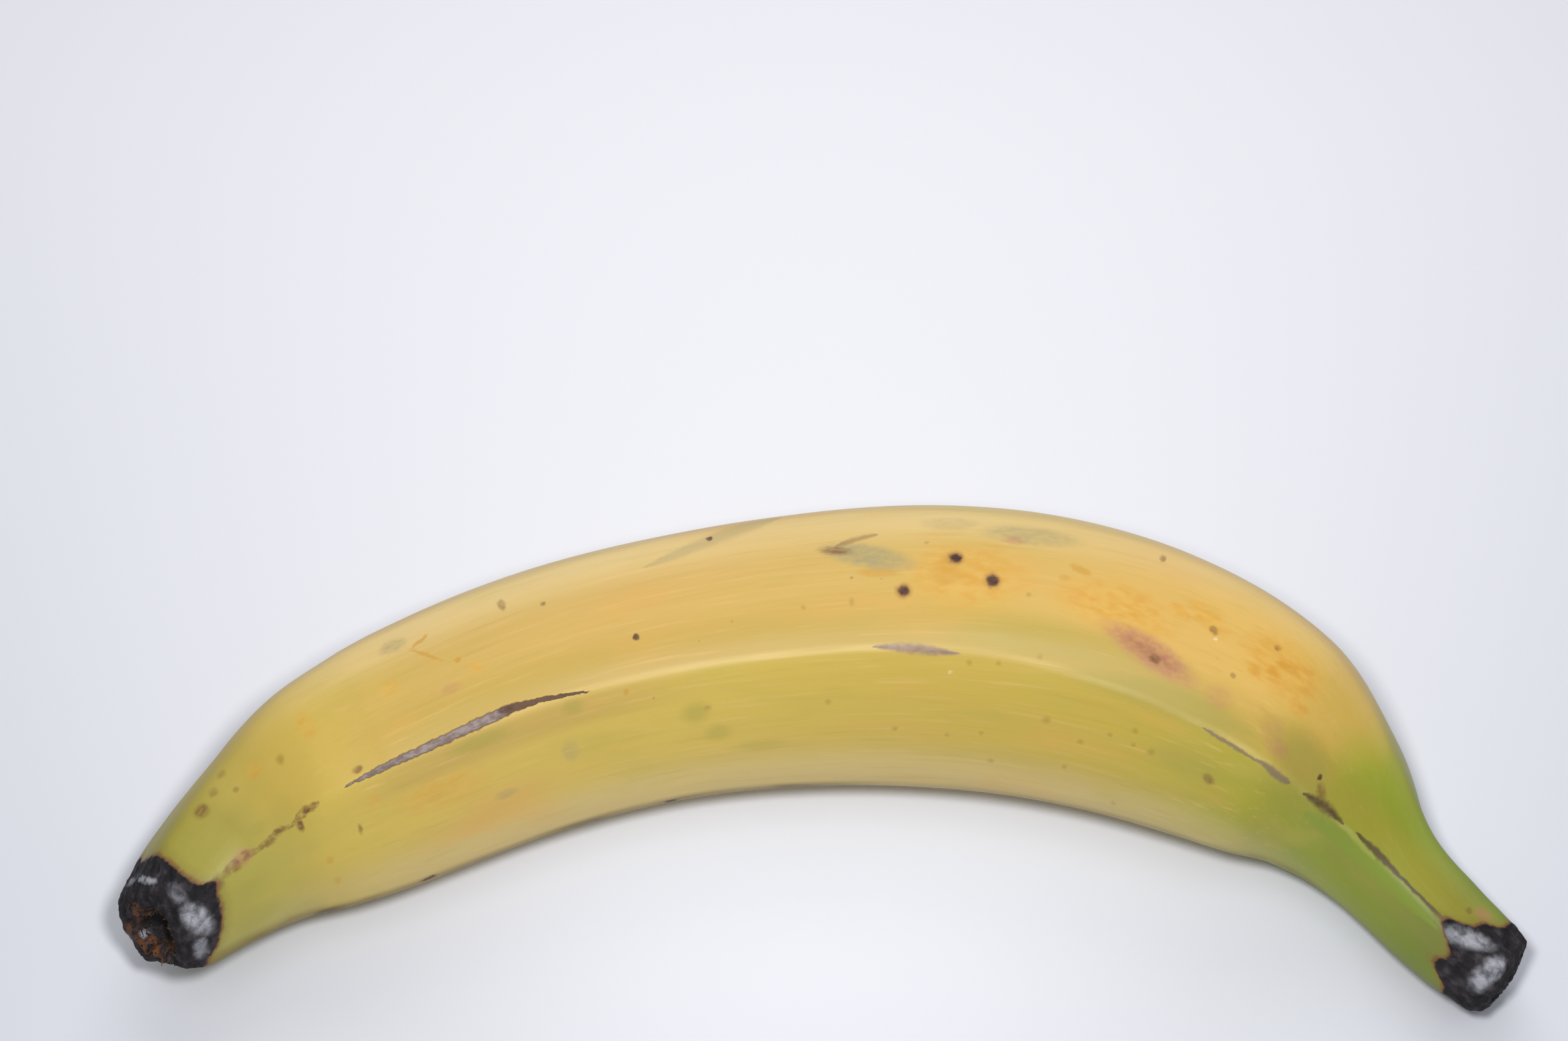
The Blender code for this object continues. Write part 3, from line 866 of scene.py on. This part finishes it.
def dried_skin(peel, wire):
    """Black crumbly skin with grey mould on both ends, and the blossom scar's marks, with painted shade in
    its holes.
    """
    crumb = wire.ramp(peel.grain((2.2, 1.6, 1.6), 51, 4.0), -0.25, 0.25)
    black = wire.colours(crumb, {0.1: hue(19, 18, 21), 0.55: hue(37, 34, 38), 0.95: hue(62, 57, 61)})
    mould = peel.patches(MOULD, 0.5)
    powder = wire.ramp(peel.grain((1.7, 1.7, 1.7), 57, 4.0), -0.22, 0.10, 0.25, 1.0)
    black = wire.mix(wire.times(mould, powder), black, hue(168, 169, 177))
    for kind, tint in SCAR_TINTS.items():
        marks = (peel.oval((1.5, inward, up), (9, wide, tall), strength, 0.45)
                 for inward, up, wide, tall, strength in SCAR_MARKS[kind])
        mask = wire.fold("MAXIMUM", marks)
        if kind == "fibre":
            mask = wire.times(mask, wire.ramp(peel.grain((1.2, 1.2, 1.2), 61, 3.0), -0.16, 0.08))
        black = wire.mix(mask, black, hue(*tint))
    return black, crumb


def peel_material():
    material, wire, shader = new_material("ripe peel")
    plus, times, most, ramp, mix = wire.plus, wire.times, wire.most, wire.ramp, wire.mix
    peel = Peel(wire)
    skin, streak = ripe_skin(peel, wire)
    strokes = {name: peel.stroke(points, FEATHERING.get(name, 0.3)) for name, points in STROKES.items()}
    fine = peel.grain((0.45, 0.45, 0.45), 41, 3.0)
    mottle = ramp(peel.grain((1.6, 0.8, 0.8), 43, 3.0), -0.22, 0.22)
    skin = tinted_skin(peel, wire, skin, strokes, mottle)

    # Freckles, scattered; each cell of the pattern holds one or none.
    cells = wire.add("ShaderNodeTexVoronoi", {"Vector": peel.place, "Scale": 1 / FRECKLE_SPACING})
    chance = wire.add("ShaderNodeSeparateColor", (cells.outputs["Color"],)).outputs[0]
    size = ramp(chance, 0.55, 1.0, 0.0, 0.085)
    freckles = wire.math("DIVIDE", cells.outputs["Distance"], most(size, 0.001))
    freckles = ramp(freckles, 0.5, 1.2, 0.5, 0.0)
    skin = mix(freckles, skin, hue(150, 112, 60))

    # Worn places and scars: grey-purple cork, between brown edges on the long scar.
    scar = strokes["long scar"]
    skin = mix(times(strokes["stem scar"], 0.75), skin, hue(122, 103, 92))
    worn = mix(mottle, hue(128, 104, 96), hue(152, 130, 122))
    skin = mix(times(strokes["ridge scar"], 0.85), skin, worn)
    skin = mix(times(strokes["neck line"], 0.9), skin, hue(86, 70, 50))
    skin = mix(ramp(scar, 0.0, 0.7), skin, hue(98, 73, 56))
    cork = wire.colours(mottle, {0.1: hue(118, 100, 94), 0.5: hue(133, 117, 113), 0.9: hue(148, 134, 132)})
    open_part = ramp(peel.station, 69, 72, 1.0, 0.0)
    skin = mix(times(ramp(scar, 0.3, 0.9), open_part), skin, cork)

    # Dark spots, the three large ones with a brown halo, and pale flecks.
    dark = most(peel.patches(PATCHES["dark"], 0.4), times(strokes["neck blotch"], 0.85))
    halo = peel.patches([(station, turn, length + HALO, width + HALO, 0.5)
                         for station, turn, length, width, _ in PATCHES["dark"][:3]], 0.3)
    skin = mix(halo, skin, hue(156, 112, 56))
    skin = mix(dark, skin, wire.colours(mottle, {0.2: hue(66, 42, 36), 0.8: hue(94, 64, 52)}))
    skin = mix(peel.patches(PATCHES["flecks"], 0.35), skin, hue(226, 208, 168))

    # Dried skin at both ends, with an amber seam where the peel stops.
    beyond = wire.math("DIVIDE", wire.carried("beyond dried skin"), MM)
    beyond = plus(beyond, times(peel.jitter, 1.0))
    skin = mix(ramp(beyond, 0.3, 3.0, 0.45, 0.0), skin, hue(122, 112, 52))
    skin = mix(ramp(beyond, 0.1, 1.0, 0.85, 0.0), skin, hue(118, 76, 48))
    dried = ramp(beyond, -0.25, 0.25, 1.0, 0.0)
    black, crumb = dried_skin(peel, wire)
    wire.feed(shader.inputs["Base Color"], mix(dried, skin, black))

    rough = plus(0.48, times(streak, 0.10))
    rough = plus(rough, times(most(scar, dark), 0.18))
    wire.feed(shader.inputs["Roughness"], wire.number(dried, rough, 0.82))
    shader.inputs["Specular IOR Level"].default_value = 0.28

    height = plus(times(fine, 0.012), times(streak, 0.035))
    height = plus(height, times(ramp(scar, 0.1, 0.9), plus(0.10, times(mottle, 0.10))))
    height = plus(height, times(dark, -0.07))
    height = plus(height, times(freckles, 0.03))
    rubble = plus(times(crumb, 0.45), times(fine, 0.06))
    raise_bumps(wire, shader, wire.number(dried, height, rubble), MM, 1.0)
    return material


def fibre_material():
    """Dry brown fibre: darker and lighter strands, matt."""
    material, wire, shader = new_material("dried fibre")
    tone = wire.carried("tone")
    place = wire.add("ShaderNodeTexCoord").outputs["Object"]
    dust = wire.noise(wire.scale(place, 1 / (0.8 * MM)), 3.0)
    value = wire.plus(wire.times(tone, 0.7), wire.times(dust, 0.3))
    shade = wire.colours(value, {0.1: hue(28, 24, 23), 0.45: hue(50, 38, 31), 0.7: hue(88, 58, 38),
                                 0.95: hue(126, 88, 58)})
    wire.feed(shader.inputs["Base Color"], shade)
    wire.feed(shader.inputs["Roughness"], wire.plus(0.7, wire.times(dust, 0.2)))
    shader.inputs["Specular IOR Level"].default_value = 0.25
    height = wire.noise(wire.scale(place, 1 / (0.25 * MM)), 5.0)
    raise_bumps(wire, shader, height, 0.05 * MM, 0.8)
    return material


# ---------------------------------------------------------------- the studio

def point_at(thing, place, aim):
    thing.location = place
    thing.rotation_euler = (Vector(aim) - thing.location).to_track_quat("-Z", "Y").to_euler()


def table_top():
    floor_mesh = bpy.data.meshes.new("floor")
    corners = [(x * TABLE_REACH, y * TABLE_REACH, 0) for x, y in ((-1, -1), (1, -1), (1, 1), (-1, 1))]
    floor_mesh.from_pydata(corners, [], [(0, 1, 2, 3)])
    floor = add_object("floor", floor_mesh)
    material, wire, shader = new_material("white table")
    place = wire.add("ShaderNodeTexCoord").outputs["Object"]
    depth = wire.parts(place)[1]
    # Painted light: the table is darker towards the front and brighter towards the back.
    shade = wire.mix(wire.ramp(depth, -0.10, 0.20), (0.665, 0.68, 0.75, 1), (0.95, 0.955, 1.0, 1))
    # Painted light: paler inside the bend, against the shade that the fruit casts there.
    away = wire.vector("LENGTH", wire.vector("MULTIPLY_ADD", place, (9, 22, 1), (0, 0.1, 0)))
    shade = wire.mix(wire.ramp(away, 0.2, 1.3, 0.7, 0.0), shade, (0.865, 0.90, 1.0, 1))
    wire.feed(shader.inputs["Base Color"], shade)
    shader.inputs["Roughness"].default_value = 0.6
    floor_mesh.materials.append(material)


def room_light():
    world = bpy.data.worlds.new("soft room")
    bpy.context.scene.world = world
    world.use_nodes = True
    sky = world.node_tree.nodes["Background"]
    sky.inputs["Color"].default_value = (0.93, 0.95, 1.0, 1)
    sky.inputs["Strength"].default_value = 0.27
    for name, place, aim, size, power, colour in LAMPS:
        light = bpy.data.lights.new(name, "AREA")
        light.shape = "DISK"
        light.size = size
        light.energy = power
        light.color = colour
        point_at(add_object(name, light), place, aim)
    bpy.context.scene.view_settings.view_transform = "Standard"


def camera():
    data = bpy.data.cameras.new("camera")
    data.lens = LENS
    data.sensor_width = SENSOR_WIDTH
    eye = add_object("camera", data)
    point_at(eye, CAMERA_PLACE, CAMERA_AIM)
    bpy.context.scene.camera = eye


def align(piece, node):
    """Stand a piece where the CAD node stands, by the middles of their footprints."""
    corners = np.empty(len(piece.data.vertices) * 3)
    piece.data.vertices.foreach_get("co", corners)
    corners = corners.reshape(-1, 3)
    own = (corners.min(axis=0) + corners.max(axis=0)) / 2
    low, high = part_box(node)
    goal = (low + high) / 2
    piece.data.transform(Matrix.Translation((goal.x - own[0], goal.y - own[1], 0)))


peel = swept_fruit(peel_material())
align(peel, "plantain")
for piece in (peel, scar_fibres(peel, fibre_material())):
    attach(piece, "root")
    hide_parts("plantain")
table_top()
room_light()
camera()
